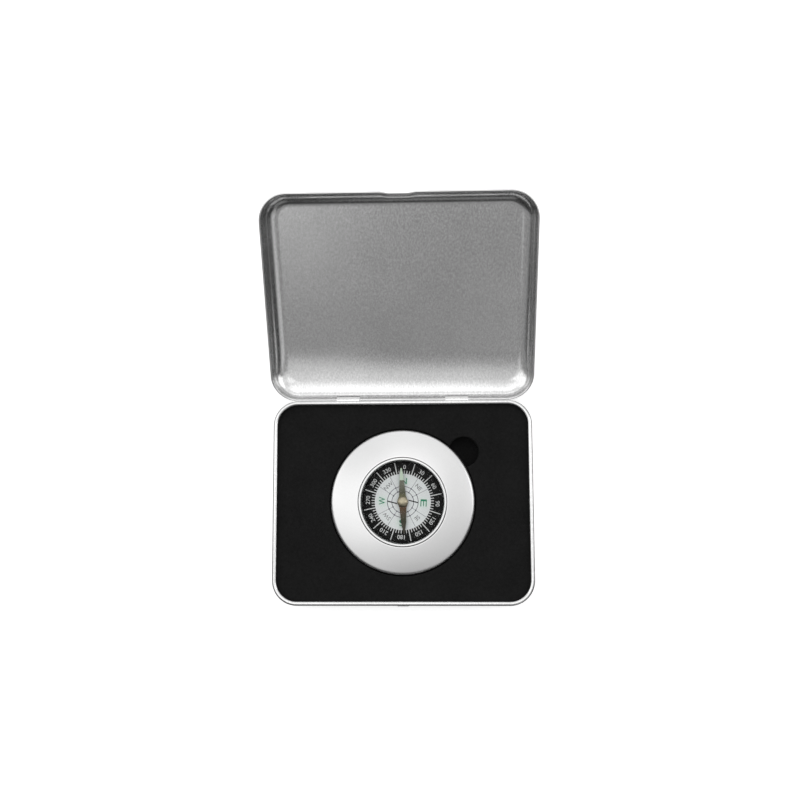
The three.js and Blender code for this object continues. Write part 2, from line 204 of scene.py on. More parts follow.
# Facets and tolerances
CORNER_STEPS = 20
FILLET_STEPS = 12
BEAD_STEPS = 16
DENT_STEPS = 10
DENT_FLAT_STEPS = 3
FELT_RINGS = 24
ROUND_STEPS = 160
SMALL_STEPS = 64
EASE_STEPS = 4
LETTER_STEPS = 4
EASE_LIMIT = 0.45
LEAST_MITRE = 0.5
FILL_MARGIN = 0.6
CREASE = math.radians(32)
WELD = 1e-8
FILL_INSIDE = 1
FILL_TOLERANCE = 1e-9
UNTURNED = Matrix.Identity(4)

# Places that the frame gives
tin_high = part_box("tin_base")[1]
foam_low, foam_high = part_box("foam_insert")
tin_half_width = tin_high.x
tin_half_depth = foam_high.y + FOAM_INSET
tin_height = tin_high.z
joints = {joint["name"]: joint for joint in frame["joints"]}
hinge = Vector(joints["lid_hinge"]["pos_m"])
lid_open = math.radians(joints["lid_hinge"]["range_deg"][1])
hinge_offset = hinge.y - tin_half_depth
hinge_centres = (-HINGE_SPACING / 2, HINGE_SPACING / 2)
lid_wall_top = LID_HEIGHT - LID_ROUND
lid_round_inner = LID_ROUND - LID_SHEET
panel_end = LID_FIT - lid_round_inner - hinge_offset
hook_inner = math.hypot(LID_BEAD, SLOT_SILL) + HINGE_CLEARANCE
hook_outer = hook_inner + TONGUE_SHEET


def levels(node):
    """Radius, bottom and top of a round CAD node."""
    low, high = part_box(node)
    return high.x, low.z, high.z


puck_radius, puck_bottom, puck_top = levels("puck_body")
felt_radius, felt_bottom, felt_top = levels("felt_pad")
cup_radius, cup_bottom, cup_top = levels("capsule_cup")
dial_radius, dial_bottom, dial_top = levels("dial_card")
bezel_radius, bezel_bottom, bezel_top = levels("bezel_ring")
blade_bottom, blade_top = levels("needle_blade")[1:]
spacer_bore = dial_radius - SPACER_WALL
bush_radius = PIN_RADIUS + FIT_GAP + BUSH_WALL
hub_bore = JEWEL_RADIUS + FIT_GAP
tenon_radius = hub_bore + HUB_WALL
needle_turn = Matrix.Rotation(NEEDLE_HEADING, 4, "Z")


# Curves and meshes

def arc(across, up, radius, start, end, steps):
    """Points of an arc from one angle to another, in degrees."""
    points = []
    for step in range(steps + 1):
        angle = math.radians(start + (end - start) * step / steps)
        points.append((across + radius * math.cos(angle), up + radius * math.sin(angle)))
    return points


def clamped(value):
    return min(1, max(0, value))


def smoothstep(value, low, high):
    share = clamped((value - low) / (high - low))
    return share * share * (3 - 2 * share)


def eased(points, ease, closed=False):
    """A profile with its sharp corners turned into short curves."""
    count = len(points)
    result = []
    for index, point in enumerate(points):
        at_end = index in (0, count - 1)
        if at_end and not closed:
            result.append(point)
            continue
        corner = Vector(point)
        before = Vector(points[index - 1]) - corner
        after = Vector(points[(index + 1) % count]) - corner
        if before.angle(after) > math.pi - CREASE:
            result.append(point)
            continue
        reach = min(ease, EASE_LIMIT * before.length, EASE_LIMIT * after.length)
        start = corner + before.normalized() * reach
        end = corner + after.normalized() * reach
        for step in range(EASE_STEPS + 1):
            share = step / EASE_STEPS
            bend = start.lerp(corner, share).lerp(corner.lerp(end, share), share)
            result.append(tuple(bend))
    return result


def finished_mesh(body, name, place=UNTURNED):
    """A mesh with outward faces, smooth but for its creases."""
    bmesh.ops.remove_doubles(body, verts=body.verts, dist=WELD)
    bmesh.ops.recalc_face_normals(body, faces=body.faces)
    mesh = bpy.data.meshes.new(name)
    body.to_mesh(mesh)
    body.free()
    mesh.transform(place)
    mesh.shade_smooth()
    mesh.set_sharp_from_angle(angle=CREASE)
    return mesh


def joined_rings(body, rings):
    """Adds a stack of rings of points with equal counts, and the faces between them."""
    loops = [[body.verts.new(point) for point in ring] for ring in rings]
    count = len(loops[0])
    for low, high in zip(loops, loops[1:]):
        for index in range(count):
            after = (index + 1) % count
            body.faces.new((low[index], low[after], high[after], high[index]))
    return loops


def turned(name, profile, steps=ROUND_STEPS):
    """A body turned about the Z axis, from a profile that ends on the axis or closes on itself."""
    body = bmesh.new()
    turns = [2 * math.pi * step / steps for step in range(steps)]
    rings = [[(radius * math.cos(t), radius * math.sin(t), z) for t in turns] for radius, z in profile]
    if profile[0][0] > 0:
        rings.append(rings[0])
    joined_rings(body, rings)
    return finished_mesh(body, name)


def turned_ring(name, inner, outer, bottom, top, ease=EASE, steps=ROUND_STEPS):
    """A ring of rectangular section with eased edges."""
    section = [(inner, bottom), (outer, bottom), (outer, top), (inner, top)]
    return turned(name, eased(section, ease, closed=True), steps)


def dome(radius, low, high):
    """A low dome's profile, from its edge to the axis."""
    shares = [1 - step / FILLET_STEPS for step in range(FILLET_STEPS + 1)]
    return [(radius * share, high - (high - low) * share ** 2) for share in shares]


def rounded_outline(half_width, front, rear, corner, stations=(), rows=()):
    """A rounded rectangle, anticlockwise, with any further points that its front edge and sides need."""
    points = [(x, front) for x in stations]
    inner = half_width - corner
    points += arc(inner, front + corner, corner, -90, 0, CORNER_STEPS)
    points += [(half_width, y) for y in rows]
    points += arc(inner, rear - corner, corner, 0, 90, CORNER_STEPS)
    points += arc(-inner, rear - corner, corner, 90, 180, CORNER_STEPS)
    points += [(-half_width, y) for y in reversed(rows)]
    points += arc(-inner, front + corner, corner, 180, 270, CORNER_STEPS)
    return points


def through_rings(rings, filling=()):
    """A closed body through a stack of rings, its level ends filled."""
    body = bmesh.new()
    joined_rings(body, rings)
    for ring in (rings[0], rings[-1]):
        flat_fill(body, [[(x, y) for x, y, _ in ring]], ring[0][2], filling)
    return body


def prism(body, rings):
    """Adds a closed prism between two rings of points."""
    low, high = joined_rings(body, rings)
    body.faces.new(reversed(low))
    body.faces.new(high)


def bar_along_x(body, section, length, centre):
    """Adds a bar with a section in Y and Z, centred on one X."""
    ends = (centre - length / 2, centre + length / 2)
    prism(body, [[(x, y, z) for y, z in section] for x in ends])


def linked(name, data):
    """A new object in the scene."""
    item = bpy.data.objects.new(name, data)
    bpy.context.scene.collection.objects.link(item)
    return item


def evaluated_mesh(item):
    """The plain mesh that an object's modifiers or its own curves give. The object is then removed."""
    graph = bpy.context.evaluated_depsgraph_get()
    mesh = bpy.data.meshes.new_from_object(item.evaluated_get(graph), depsgraph=graph)
    bpy.data.objects.remove(item)
    return mesh


def combined(name, mesh, tool, operation):
    """A mesh joined with another, or cut by it."""
    whole = linked("whole", mesh)
    other = linked("tool", tool)
    change = whole.modifiers.new("change", "BOOLEAN")
    change.object = other
    change.operation = operation
    change.solver = "EXACT"
    result = evaluated_mesh(whole)
    bpy.data.objects.remove(other)
    result.name = name
    result.shade_smooth()
    result.set_sharp_from_angle(angle=CREASE)
    return result


def moved_in(loop, distance):
    """A loop moved to its left, which is into the material."""
    count = len(loop)
    result = []
    for index, point in enumerate(loop):
        corner = Vector(point)
        before = (corner - Vector(loop[index - 1])).normalized()
        after = (Vector(loop[(index + 1) % count]) - corner).normalized()
        left = Vector((-before.y - after.y, before.x + after.x)).normalized()
        mitre = max(LEAST_MITRE, left.dot(Vector((-before.y, before.x))))
        result.append(tuple(corner + left * (distance / mitre)))
    return result


def inside_loops(points, loops):
    """Which points lie in the material between an outer loop and its holes."""
    odd = np.zeros(len(points), bool)
    x, y = points[:, :1], points[:, 1:2]
    for loop in loops:
        start = np.array(loop)
        end = np.roll(start, -1, axis=0)
        spans = (start[:, 1] > y) != (end[:, 1] > y)
        rise = end[:, 1] - start[:, 1]
        safe = np.where(rise == 0, 1, rise)
        crossing = start[:, 0] + (y - start[:, 1]) * (end[:, 0] - start[:, 0]) / safe
        odd ^= (spans & (x < crossing)).sum(axis=1) % 2 == 1
    return odd


def scattered(loops, pitch, margin, jitter=0.0, seed=0):
    """Points at a pitch over the material between loops, moved by a share of the pitch."""
    draw = random.Random(seed)
    outer = np.array(loops[0])
    low, high = outer.min(axis=0), outer.max(axis=0)
    columns, rows = ((high - low) / pitch).astype(int)
    points = []
    for row in range(1, rows + 1):
        for column in range(1, columns + 1):
            x = low[0] + pitch * (column + draw.uniform(-jitter, jitter))
            y = low[1] + pitch * (row + draw.uniform(-jitter, jitter))
            points.append((x, y))
    points = np.array(points)
    return points[inside_loops(points, [moved_in(loop, margin) for loop in loops])]


def flat_fill(body, loops, z, filling=(), lift=None):
    """Adds a face of triangles between loops, with further points to fill it."""
    points = [Vector(point) for loop in loops for point in loop]
    edges = []
    start = 0
    for loop in loops:
        count = len(loop)
        edges += [(start + index, start + (index + 1) % count) for index in range(count)]
        start += count
    points += [Vector(point) for point in filling]
    places, _, triangles, *_ = geometry.delaunay_2d_cdt(points, edges, [], FILL_INSIDE, FILL_TOLERANCE)
    centres = np.array([sum((places[i] for i in t), Vector((0, 0))) / 3 for t in triangles])
    verts = []
    for index, place in enumerate(places):
        raised = lift(place) if lift and index >= start else 0
        verts.append(body.verts.new((place.x, place.y, z + raised)))
    for triangle, kept in zip(triangles, inside_loops(centres, loops)):
        if kept:
            body.faces.new([verts[index] for index in triangle])
    for vert in [vert for vert in verts if not vert.link_faces]:
        body.verts.remove(vert)


def die_cut(name, loops, bottom, top, roll, filling=(), lift=None, place=UNTURNED):
    """A plate between loops, with rolled edges above and below. Holes run clockwise."""
    body = bmesh.new()
    wall = arc(roll, bottom + roll, roll, 270, 180, EASE_STEPS)
    wall += arc(roll, top - roll, roll, 180, 90, EASE_STEPS)
    for loop in loops:
        joined_rings(body, [[(x, y, z) for x, y in moved_in(loop, inset)] for inset, z in wall])
    edge = [moved_in(loop, roll) for loop in loops]
    flat_fill(body, edge, bottom)
    flat_fill(body, edge, top, filling, lift)
    return finished_mesh(body, name, place)


# Materials. Noise runs mostly between its edge and one minus its edge, and scales are waves per metre.

NOISE_EDGE = 0.3
TONE_EDGE = 0.35
BROAD_DETAIL = 2
GRAIN_BROAD_SHARE = 0.3
TURNED_BROAD = 90
TURNED_BROAD_SHARE = 0.4


def feed(tree, node, inputs):
    """Sets a node's inputs, or links those given a socket, or a node for its first output in use."""
    for key, value in inputs.items():
        if isinstance(value, bpy.types.Node):
            value = next(output for output in value.outputs if output.enabled)
        if isinstance(value, bpy.types.NodeSocket):
            tree.links.new(value, node.inputs[key])
        else:
            node.inputs[key].default_value = value


def add(tree, kind, inputs=None, **settings):
    """A new node with its settings and its inputs."""
    node = tree.nodes.new(kind)
    for key, value in settings.items():
        setattr(node, key, value)
    feed(tree, node, inputs or {})
    return node


def shader(name, **values):
    """A new material with its tree and its surface shader, whose even values are set here."""
    material = bpy.data.materials.new(name)
    material.use_nodes = True
    tree = material.node_tree
    surface = tree.nodes["Principled BSDF"]
    feed(tree, surface, {key.replace("_", " "): value for key, value in values.items()})
    return material, tree, surface


def grey(value):
    return (value, value, value)


def own_place(tree, **changes):
    """The piece's own coordinates, scaled or turned."""
    place = add(tree, "ShaderNodeTexCoord").outputs["Object"]
    return add(tree, "ShaderNodeMapping", {"Vector": place, **changes})


def own_noise(tree, scale, detail=3.0, distortion=0.0):
    """Noise on the piece's own coordinates, with a scale along X, Y and Z."""
    place = own_place(tree, Scale=scale)
    inputs = {"Vector": place, "Scale": 1, "Detail": detail, "Distortion": distortion}
    return add(tree, "ShaderNodeTexNoise", inputs)


def turned_lines(tree, pitch):
    """Noise in fine rings about the Z axis."""
    flat = own_place(tree, Scale=(1, 1, 0))
    reach = add(tree, "ShaderNodeVectorMath", {"Vector": flat}, operation="LENGTH")
    inputs = {"W": reach, "Scale": 1 / pitch, "Detail": 2}
    return add(tree, "ShaderNodeTexNoise", inputs, noise_dimensions="1D")


def ramp(tree, factor, stops):
    """A colour ramp along a factor, from stops of (place, colour)."""
    colours = add(tree, "ShaderNodeValToRGB", {"Fac": factor})
    elements = colours.color_ramp.elements
    while len(elements) < len(stops):
        elements.new(0.5)
    for element, (place, colour) in zip(elements, stops):
        element.position = place
        element.color = (*colour, 1)
    return colours


def tones(tree, factor, dark, light, edge=NOISE_EDGE):
    """Two colours and what lies between them, along a noise."""
    return ramp(tree, factor, [(edge, dark), (1 - edge, light)])


def ranged(tree, value, start, end, low=0, high=1):
    """A value between a start and an end, as one between two others."""
    inputs = {"Value": value, "From Min": start, "From Max": end, "To Min": low, "To Max": high}
    return add(tree, "ShaderNodeMapRange", inputs)


def spread(tree, factor, low, high):
    """The middle of a noise, spread between two values."""
    return ranged(tree, factor, NOISE_EDGE, 1 - NOISE_EDGE, low, high)


def blended(tree, fine, broad, share):
    """Two noises added, with the broad one's share."""
    return add(tree, "ShaderNodeMix", {"Factor": share, "A": fine, "B": broad})


def multiplied(tree, colour, shade):
    inputs = {"Factor": 1, "A": colour, "B": shade}
    return add(tree, "ShaderNodeMix", inputs, data_type="RGBA", blend_type="MULTIPLY")


def relief(tree, height, distance, strength=1.0):
    """The normal of a surface that a height raises."""
    inputs = {"Height": height, "Distance": distance, "Strength": strength}
    return add(tree, "ShaderNodeBump", inputs)


def grain_finish(tree, surface, fine, broad, share, dark, light, roughness, depth):
    """Feeds a surface's tone, gloss and relief from a fine grain over broad, soft changes of tone."""
    tone = blended(tree, fine, own_noise(tree, (broad,) * 3, BROAD_DETAIL), share)
    colour = tones(tree, tone, dark, light, TONE_EDGE)
    feed(tree, surface, {"Base Color": colour, "Roughness": spread(tree, fine, *roughness)})
    if depth:
        feed(tree, surface, {"Normal": relief(tree, fine, depth)})


def grained(name, dark, light, roughness, grain, broad=60, depth=0, **values):
    """A finish with a fine grain."""
    material, tree, surface = shader(name, **values)
    fine = own_noise(tree, grain)
    grain_finish(tree, surface, fine, broad, GRAIN_BROAD_SHARE, dark, light, roughness, depth)
    return material


def turned_metal(name, dark, light, roughness, pitch, depth):
    """A metal with fine turning lines."""
    material, tree, surface = shader(name, Metallic=1)
    fine = turned_lines(tree, pitch)
    grain_finish(tree, surface, fine, TURNED_BROAD, TURNED_BROAD_SHARE, dark, light, roughness, depth)
    return material


def ink(name, dark, light):
    return grained(name, dark, light, (0.45, 0.6), (3000,) * 3, broad=200, Specular_IOR_Level=0.12)


def black_foam():
    """Open foam: pores as relief, with a faint change of tone."""
    material, tree, surface = shader("black_foam", Specular_IOR_Level=0.15)
    pores = add(tree, "ShaderNodeTexVoronoi", {"Vector": own_place(tree), "Scale": 2600})
    tone = blended(tree, own_noise(tree, (900,) * 3), own_noise(tree, (70,) * 3, BROAD_DETAIL), 0.4)
    feed(tree, surface, {
        "Base Color": tones(tree, tone, grey(0.0055), grey(0.011)),
        "Roughness": spread(tree, pores, 0.85, 1),
        "Normal": relief(tree, pores, 0.12 * MM, 0.6),
    })
    return material


def black_felt():
    material, tree, surface = shader("black_felt", Sheen_Weight=0.25, Sheen_Roughness=0.5)
    fibres = own_noise(tree, (1800,) * 3, 5, distortion=2.5)
    feed(tree, surface, {
        "Base Color": tones(tree, fibres, grey(0.006), grey(0.022)),
        "Roughness": spread(tree, fibres, 0.85, 1),
        "Normal": relief(tree, fibres, 0.15 * MM, 0.8),
    })
    return material


def dial_card():
    """White card with a pale tint under each of the four main letters."""
    material, tree, surface = shader("dial_card")
    place = own_place(tree, Rotation=(0, 0, DIAL_TURN), Scale=(1, 1, 0))
    folded = add(tree, "ShaderNodeVectorMath", {0: place}, operation="ABSOLUTE")
    nearest = add(tree, "ShaderNodeMath", operation="MINIMUM")
    for index, centre in enumerate(((LETTER_RADIUS, 0, 0), (0, LETTER_RADIUS, 0))):
        away = add(tree, "ShaderNodeVectorMath", {0: folded, 1: centre}, operation="DISTANCE")
        feed(tree, nearest, {index: away})
    reach = ranged(tree, nearest, TINT_CORE, TINT_RADIUS)
    tinted = ramp(tree, reach, [(0, (0.72, 0.82, 0.76)), (1, (0.81, 0.825, 0.83))])
    fibres = own_noise(tree, (2600,) * 3)
    feed(tree, surface, {
        "Base Color": multiplied(tree, tinted, tones(tree, fibres, grey(0.93), grey(1))),
        "Roughness": spread(tree, fibres, 0.5, 0.65),
    })
    return material


def needle_steel():
    """Blued and oiled steel: olive to the north, with red-brown temper colours south of the hub."""
    material, tree, surface = shader("needle_steel", Metallic=0.55)
    place = own_place(tree, Rotation=(0, 0, -NEEDLE_HEADING))
    northing = add(tree, "ShaderNodeSeparateXYZ", {"Vector": place}).outputs["Y"]
    temper = ramp(tree, ranged(tree, northing, -SOUTH_ARM, NORTH_ARM), [
        (0.0, (0.07, 0.062, 0.05)),
        (0.2, (0.04, 0.042, 0.024)),
        (0.28, (0.075, 0.062, 0.042)),
        (0.4, (0.1, 0.052, 0.026)),
        (0.47, (0.16, 0.145, 0.07)),
        (0.55, (0.14, 0.135, 0.07)),
        (0.62, (0.08, 0.078, 0.052)),
        (0.75, (0.16, 0.16, 0.125)),
    ])
    scale = own_noise(tree, (1400, 500, 1400))
    feed(tree, surface, {
        "Base Color": multiplied(tree, temper, tones(tree, scale, grey(0.8), grey(1))),
        "Roughness": spread(tree, scale, 0.38, 0.5),
    })
    return material


def clear_lens():
    """Clear plastic: mostly see-through, with a faint gloss that grows towards its edge."""
    material, tree, surface = shader("clear_lens")
    tree.nodes.remove(surface)
    clear = add(tree, "ShaderNodeBsdfTransparent", {"Color": (0.985, 0.99, 0.988, 1)})
    roughness = spread(tree, own_noise(tree, (140,) * 3), 0.02, 0.06)
    gloss = add(tree, "ShaderNodeBsdfGlossy", {"Color": (1, 1, 1, 1), "Roughness": roughness})
    edge = add(tree, "ShaderNodeFresnel", {"IOR": 1.06})
    inputs = {"Fac": edge, 1: clear, 2: gloss}
    mix = add(tree, "ShaderNodeMixShader", inputs)
    feed(tree, tree.nodes["Material Output"], {"Surface": mix})
    return material


tinplate = grained(
    "satin_tinplate", grey(0.68), grey(0.84), (0.21, 0.26), (1900, 900, 900),
    broad=40, depth=0.0005 * MM, Metallic=1,
)
aluminium = grained(
    "satin_aluminium", grey(0.69), grey(0.75), (0.28, 0.33), (4200,) * 3,
    broad=50, depth=0.001 * MM, Metallic=1,
)
bright = turned_metal("bright_aluminium", grey(0.6), grey(0.7), (0.2, 0.3), 0.05 * MM, 0.001 * MM)
brass = turned_metal(
    "turned_brass", (0.4, 0.35, 0.25), (0.52, 0.46, 0.34), (0.28, 0.4), 0.12 * MM, 0.002 * MM,
)
steel = turned_metal("pin_steel", grey(0.42), grey(0.56), (0.2, 0.3), 0.04 * MM, 0.001 * MM)
foam = black_foam()
felt = black_felt()
card = dial_card()
lens_clear = clear_lens()
blade_steel = needle_steel()
plastic = grained(
    "black_plastic", grey(0.004), grey(0.009), (0.4, 0.5), (1500,) * 3, depth=0.003 * MM,
)
rubber = grained(
    "black_rubber", grey(0.008), grey(0.015), (0.7, 0.85), (1200,) * 3, depth=0.01 * MM,
)
tape = grained(
    "pale_tape", (0.6, 0.56, 0.46), (0.72, 0.68, 0.57), (0.55, 0.75), (900,) * 3, depth=0.01 * MM,
)
lume = grained(
    "pale_paint", (0.52, 0.62, 0.5), (0.6, 0.71, 0.58), (0.55, 0.7), (2200,) * 3, depth=0.02 * MM,
)
ruby = grained("ruby_stone", (0.2, 0.01, 0.03), (0.34, 0.02, 0.05), (0.06, 0.12), (700,) * 3)
black_ink = ink("black_ink", grey(0.006), grey(0.012))
white_ink = ink("white_ink", grey(0.66), grey(0.78))
line_ink = ink("line_ink", (0.05, 0.05, 0.07), (0.09, 0.09, 0.12))
ray_ink = ink("ray_ink", (0.16, 0.16, 0.19), (0.23, 0.23, 0.26))
green_ink = ink("green_ink", (0.03, 0.21, 0.11), (0.045, 0.28, 0.16))
grey_ink = ink("grey_ink", grey(0.13), grey(0.18))


# Pieces

def piece(mesh, material, body, slot, *nodes):
    """A piece with its mesh's name, which rides a body, takes a material and stands for CAD nodes. Its slot
    is not used.
    """
    item = linked(mesh.name, mesh)
    mesh.materials.clear()
    mesh.materials.append(material)
    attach(item, body)
    if nodes:
        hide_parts(*nodes)
    return item


def tongue_section():
    """Out of the rear wall above the lid's bead, then curled round it."""
    root = tin_half_depth - TIN_SHEET / 2
    section = [(root, hinge.z + hook_inner)]
    section += arc(hinge.y, hinge.z, hook_inner, 90, TONGUE_END_DEGREES, BEAD_STEPS)
    section += arc(hinge.y, hinge.z, hook_outer, TONGUE_END_DEGREES, 90, BEAD_STEPS)
    section.append((root, hinge.z + hook_outer))
    return section


def nub_section():
    """A sloped ledge on the front wall."""
    wall = -tin_half_depth
    top = hinge.z - LID_BEAD - NUB_DROP
    section = [
        (wall + TIN_SHEET / 2, top),
        (wall, top),
        (wall - NUB_REACH, top - NUB_HEIGHT / 4),
        (wall - NUB_REACH, top - NUB_HEIGHT / 2),
        (wall, top - NUB_HEIGHT),
        (wall + TIN_SHEET / 2, top - NUB_HEIGHT),
    ]
    return eased(section, NUB_EASE, closed=True)


def tin_base():
    """Up the outside, over the inward bead and down the inside, with the tongues and the nub."""
    bead_end = math.degrees(math.acos((RIM_BEAD - TIN_SHEET) / RIM_BEAD)) - 180
    round_inner = TIN_BOTTOM_ROUND - TIN_SHEET
    profile = [(TIN_BOTTOM_ROUND + FLAT_HOLD, 0)]
    profile += arc(TIN_BOTTOM_ROUND, TIN_BOTTOM_ROUND, TIN_BOTTOM_ROUND, 270, 180, FILLET_STEPS)
    profile += arc(RIM_BEAD, tin_height - RIM_BEAD, RIM_BEAD, 180, bead_end, BEAD_STEPS)
    profile += arc(TIN_BOTTOM_ROUND, TIN_BOTTOM_ROUND, round_inner, 180, 270, FILLET_STEPS)
    profile.append((TIN_BOTTOM_ROUND + FLAT_HOLD, TIN_SHEET))
    rings = []
    for inset, z in profile:
        depth = tin_half_depth - inset
        outline = rounded_outline(tin_half_width - inset, -depth, depth, TIN_CORNER - inset)
        rings.append([(x, y, z) for x, y in outline])
    tray = finished_mesh(through_rings(rings), "tin_tray")
    extras = bmesh.new()
    for x in hinge_centres:
        bar_along_x(extras, tongue_section(), SLOT_WIDTH - 2 * HINGE_CLEARANCE, x)
    bar_along_x(extras, nub_section(), NUB_WIDTH, 0)
    shell = combined("tin_base_shell", tray, finished_mesh(extras, "tin_base_extras"), "UNION")
    piece(shell, tinplate, "tin", "tinplate", "tin_base")


def dent_stations():
    half = DENT_FLAT / 2
    right = [half * step / DENT_FLAT_STEPS for step in range(1, DENT_FLAT_STEPS)]
    right += [half + DENT_RAMP * step / DENT_STEPS for step in range(DENT_STEPS + 1)]
    return [-x for x in reversed(right)] + [0] + right


def dent_share(x):
    half = DENT_FLAT / 2
    return 1 - smoothstep(abs(x), half, half + DENT_RAMP)


def lid_profile():
    """Down the inside, round the bead and up the outside, as (outward from the base's wall, z)."""
    wall_inner = LID_FIT
    wall_outer = LID_FIT + LID_SHEET
    bead_end = 360 + math.degrees(math.acos((LID_SHEET - LID_BEAD) / LID_BEAD))
    walls = [lid_wall_top * share for share in LID_WALL_ROWS]
    profile = [(wall_inner - lid_round_inner - FLAT_HOLD, lid_wall_top + lid_round_inner)]
    profile += arc(wall_inner - lid_round_inner, lid_wall_top, lid_round_inner, 90, 0, FILLET_STEPS)
    profile += [(wall_inner, z) for z in walls]
    profile += arc(hinge_offset, 0, LID_BEAD, 180, bead_end, BEAD_STEPS)
    profile += [(wall_outer, z) for z in reversed(walls)]
    profile += arc(wall_outer - LID_ROUND, lid_wall_top, LID_ROUND, 0, 90, FILLET_STEPS)
    profile.append((wall_outer - LID_ROUND - FLAT_HOLD, LID_HEIGHT))
    return profile


def panel_bend(y):
    """How far the lid's panel curves inward on its way to the hinge."""
    run = min(LID_BEND_RUN, max(0, y - panel_end + LID_BEND_RUN))
    return LID_BEND_SLOPE * run ** 2 / (2 * LID_BEND_RUN)


def rear_slope(share):
    """The inside of the lid's rear edge, from the panel to the wall, as (y, z)."""
    start = Vector((panel_end, lid_wall_top + lid_round_inner - panel_bend(panel_end)))
    end = Vector((LID_FIT - hinge_offset, lid_wall_top))
    start_handle = start + LID_SLOPE_START * Vector((1, -LID_BEND_SLOPE))
    end_handle = end + Vector((0, LID_SLOPE_END))
    first = start.lerp(start_handle, share)
    middle = start_handle.lerp(end_handle, share)
    last = end_handle.lerp(end, share)
    return first.lerp(middle, share).lerp(middle.lerp(last, share), share)


def shaped_rear(place):
    """A point of the plain lid, moved for the curved panel and the long slope of its rear edge."""
    rise = clamped((place.z - lid_wall_top) / lid_round_inner)
    turn = math.acos(rise)
    rear = panel_end + lid_round_inner * math.sin(turn)
    corner = -hinge_offset - TIN_CORNER
    share = clamped((place.y - corner) / (rear - corner)) ** LID_CORNER_FADE
    slope_y, slope_z = rear_slope(2 * turn / math.pi)
    curved = lid_wall_top + (lid_round_inner - panel_bend(panel_end)) * rise
    drop = panel_bend(place.y) * rise + share * (curved - slope_z)
    return Vector((place.x, place.y + share * (slope_y - rear), place.z - drop))


def tin_lid():
    """The lid with its bead, thumb dent and hinge slots, swung open."""
    stations = dent_stations()
    straight = 2 * (tin_half_depth - TIN_CORNER) + LID_FRONT_FIT - LID_FIT
    steps = round(straight / PANEL_PITCH)
    rows = [-hinge_offset - TIN_CORNER - straight * (1 - step / steps) for step in range(1, steps)]
    wall_outer = LID_FIT + LID_SHEET
    rings = []
    for outward, z in lid_profile():
        front = -hinge_offset - 2 * tin_half_depth - outward - (LID_FRONT_FIT - LID_FIT)
        rear = outward - hinge_offset
        half_width = tin_half_width + outward
        outline = rounded_outline(half_width, front, rear, TIN_CORNER + outward, stations, rows)
        fade = 1 - smoothstep(z, DENT_FULL, DENT_RISE)
        press = DENT_DEPTH + max(0, outward - wall_outer)
        ring = []
        for index, (x, y) in enumerate(outline):
            pressed = press * fade * dent_share(x) if index < len(stations) else 0
            ring.append((x, y + pressed, z))
        rings.append(ring)
    edge = [(x, y) for x, y, _ in rings[0]]
    body = through_rings(rings, scattered([edge], PANEL_PITCH, FILL_MARGIN * PANEL_PITCH))
    for vert in body.verts:
        vert.co = shaped_rear(vert.co)
    cover = finished_mesh(body, "tin_cover")
    slots = bmesh.new()
    slot_top = hook_outer + SLOT_HEADROOM
    section = [
        (-SLOT_REACH, SLOT_SILL),
        (SLOT_REACH, SLOT_SILL),
        (SLOT_REACH, slot_top),
        (-SLOT_REACH, slot_top),
    ]
    for x in hinge_centres:
        bar_along_x(slots, section, SLOT_WIDTH, x)
    shell = combined("tin_lid_shell", cover, finished_mesh(slots, "tin_lid_slots"), "DIFFERENCE")
    shell.transform(Matrix.Translation(hinge) @ Matrix.Rotation(-lid_open, 4, "X"))
    piece(shell, tinplate, "lid", "tinplate", "tin_lid")


def foam_lift(place):
    """The slight unevenness of a cut foam face."""
    return FOAM_UNEVEN * noise.noise(Vector((place.x, place.y, 0)) * FOAM_WAVES_PER_METRE)


def foam_dip(place):
    """The same where a face may only sink, because something lies on it."""
    return min(0, foam_lift(place))


def foam_mesh(name, loops, bottom, top, lift, seed):
    """Cut foam with an uneven upper face."""
    margin = FOAM_ROLL + FILL_MARGIN * FOAM_PITCH
    filling = scattered(loops, FOAM_PITCH, margin, FOAM_JITTER, seed)
    return die_cut(name, loops, bottom, top, FOAM_ROLL, filling, lift)


def pocket_loop():
    """The round pocket and the finger notch that runs into it, clockwise."""
    pocket = puck_radius + POCKET_GAP
    distance = puck_radius + NOTCH_OUT
    squares = distance ** 2 + pocket ** 2 - NOTCH_RADIUS ** 2
    pocket_half = math.acos(squares / (2 * distance * pocket))
    notch_half = math.pi - math.acos((distance - pocket * math.cos(pocket_half)) / NOTCH_RADIUS)
    heading = math.degrees(NOTCH_HEADING)
    turn = math.degrees(pocket_half)
    swing = math.degrees(notch_half)
    notch_x = distance * math.cos(NOTCH_HEADING)
    notch_y = distance * math.sin(NOTCH_HEADING)
    loop = arc(0, 0, pocket, heading + turn, heading - turn + 360, ROUND_STEPS)[:-1]
    loop += arc(notch_x, notch_y, NOTCH_RADIUS, heading - swing, heading + swing, SMALL_STEPS)[:-1]
    return loop[::-1]


def foam_insert():
    depth = tin_half_depth - FOAM_INSET
    outer = rounded_outline(tin_half_width - FOAM_INSET, -depth, depth, TIN_CORNER - FOAM_INSET)
    loops = [outer, pocket_loop()]
    mesh = foam_mesh("foam_insert_block", loops, foam_low.z, foam_high.z, foam_lift, seed=7)
    block = piece(mesh, foam, "tin", "black_foam", "foam_insert")


def foam_floor():
    low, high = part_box("foam_floor")
    corner = TIN_CORNER - (tin_half_width - high.x)
    outer = rounded_outline(high.x, low.y, high.y, corner)
    mesh = foam_mesh("foam_floor_sheet", [outer], low.z, high.z, foam_dip, seed=11)
    sheet = piece(mesh, foam, "tin", "black_foam", "foam_floor")


